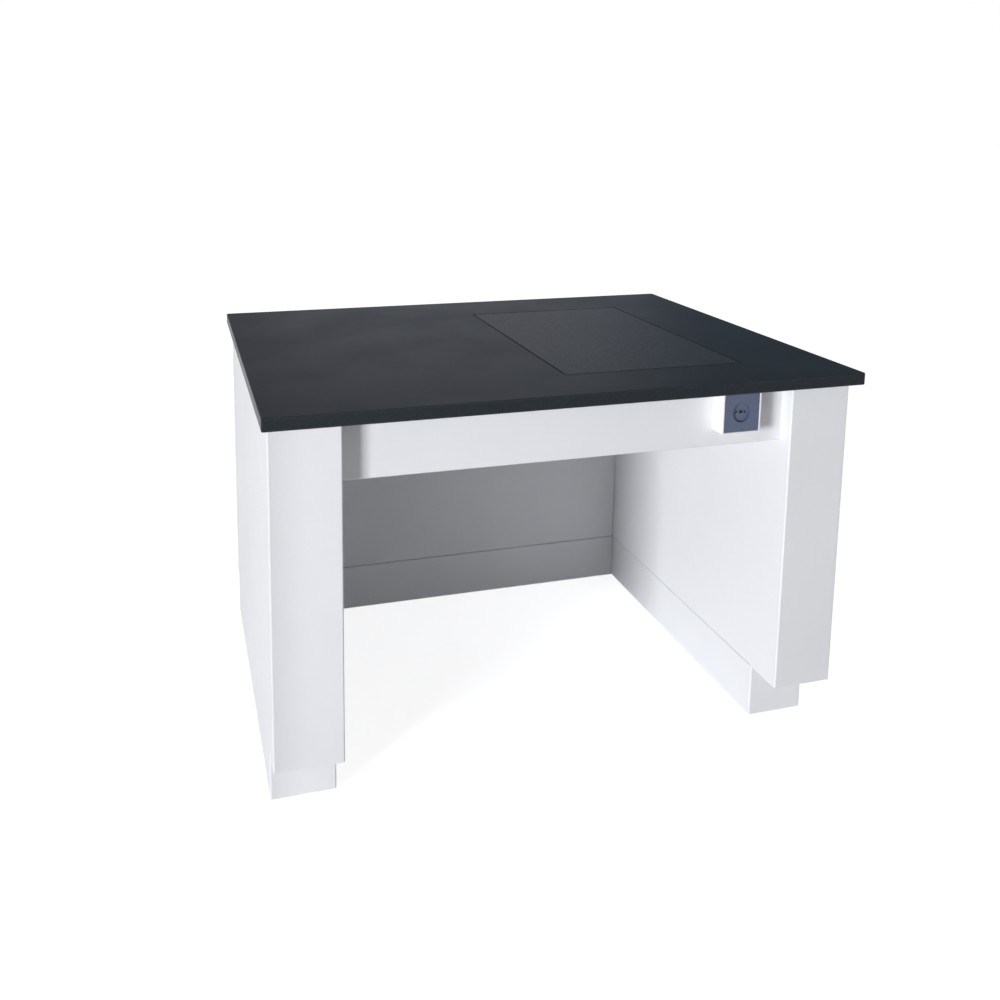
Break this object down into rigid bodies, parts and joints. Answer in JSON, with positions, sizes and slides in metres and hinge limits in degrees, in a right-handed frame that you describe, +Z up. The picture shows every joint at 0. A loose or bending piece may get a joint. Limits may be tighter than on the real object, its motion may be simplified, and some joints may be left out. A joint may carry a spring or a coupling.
{
  "type": "weighing balance table",
  "caption": "Laboratory balance table: dark worktop on white sheet-metal pedestals, with a flush stone slab on rubber isolators, front apron, back panel, levelling feet and a socket outlet.",
  "frame": {"origin": "on the floor, under the middle of the worktop", "axes": "+X to the right along the width, +Y to the back, +Z up; the knee space opens towards -Y"},
  "size_m": [1.2, 0.9, 0.8],
  "materials": {
    "worktop_board": "satin charcoal solid resin board",
    "balance_stone": "honed dark stone",
    "white_paint": "satin white powder coat",
    "zinc_steel": "zinc plated",
    "rubber": "matte black",
    "white_plastic": "moulded, satin",
    "dark_plastic": "moulded, satin, blue grey",
    "black_steel": "blackened",
    "brass": "plain"
  },
  "bodies": {
    "table": {"worktop": "worktop_board", "left_pedestal_shell": "white_paint", "left_pedestal_back_cover": "white_paint", "left_pedestal_top_plate": "white_paint", "left_pedestal_base_plate": "white_paint", "left_plinth": "white_paint", "left_front_foot_bracket": "zinc_steel", "left_front_foot_nut": "zinc_steel", "left_front_worktop_screw": "zinc_steel", "left_rear_foot_bracket": "zinc_steel", "left_rear_foot_nut": "zinc_steel", "left_rear_worktop_screw": "zinc_steel", "right_pedestal_shell": "white_paint", "right_pedestal_back_cover": "white_paint", "right_pedestal_top_plate": "white_paint", "right_pedestal_base_plate": "white_paint", "right_plinth": "white_paint", "right_front_foot_bracket": "zinc_steel", "right_front_foot_nut": "zinc_steel", "right_front_worktop_screw": "zinc_steel", "right_rear_foot_bracket": "zinc_steel", "right_rear_foot_nut": "zinc_steel", "right_rear_worktop_screw": "zinc_steel", "front_apron": "white_paint", "apron_bracket_left": "zinc_steel", "apron_bracket_right": "zinc_steel", "back_panel": "white_paint", "back_plinth": "white_paint", "front_cross_rail": "white_paint", "front_left_rail_seat": "zinc_steel", "front_left_isolator": "rubber", "front_right_rail_seat": "zinc_steel", "front_right_isolator": "rubber", "rear_cross_rail": "white_paint", "rear_left_rail_seat": "zinc_steel", "rear_left_isolator": "rubber", "rear_right_rail_seat": "zinc_steel", "rear_right_isolator": "rubber", "left_stone_bearer": "white_paint", "right_stone_bearer": "white_paint", "socket_box": "white_plastic", "socket_plate": "dark_plastic", "socket_insert": "white_plastic", "socket_screw": "black_steel", "cable_grommet": "rubber", "socket_contact_left": "brass", "socket_contact_right": "brass"},
    "stone": {"balance_stone": "balance_stone"},
    "front_left_foot": {"left_front_levelling_foot": "zinc_steel"},
    "rear_left_foot": {"left_rear_levelling_foot": "zinc_steel"},
    "front_right_foot": {"right_front_levelling_foot": "zinc_steel"},
    "rear_right_foot": {"right_rear_levelling_foot": "zinc_steel"}
  },
  "joints": [
    {"name": "stone_float", "type": "slide", "parent": "table", "child": "stone", "axis": [0, 0, 1], "range_m": [-0.003, 0.001], "stiffness_N_per_m": 250000, "springref_m": 0.00124, "deforming": ["front_left_isolator", "front_right_isolator", "rear_left_isolator", "rear_right_isolator"]},
    {"name": "front_left_level", "type": "slide", "parent": "table", "child": "front_left_foot", "axis": [0, 0, -1], "range_m": [0, 0.02]},
    {"name": "rear_left_level", "type": "slide", "parent": "table", "child": "rear_left_foot", "axis": [0, 0, -1], "range_m": [0, 0.02]},
    {"name": "front_right_level", "type": "slide", "parent": "table", "child": "front_right_foot", "axis": [0, 0, -1], "range_m": [0, 0.02]},
    {"name": "rear_right_level", "type": "slide", "parent": "table", "child": "rear_right_foot", "axis": [0, 0, -1], "range_m": [0, 0.02]}
  ]
}
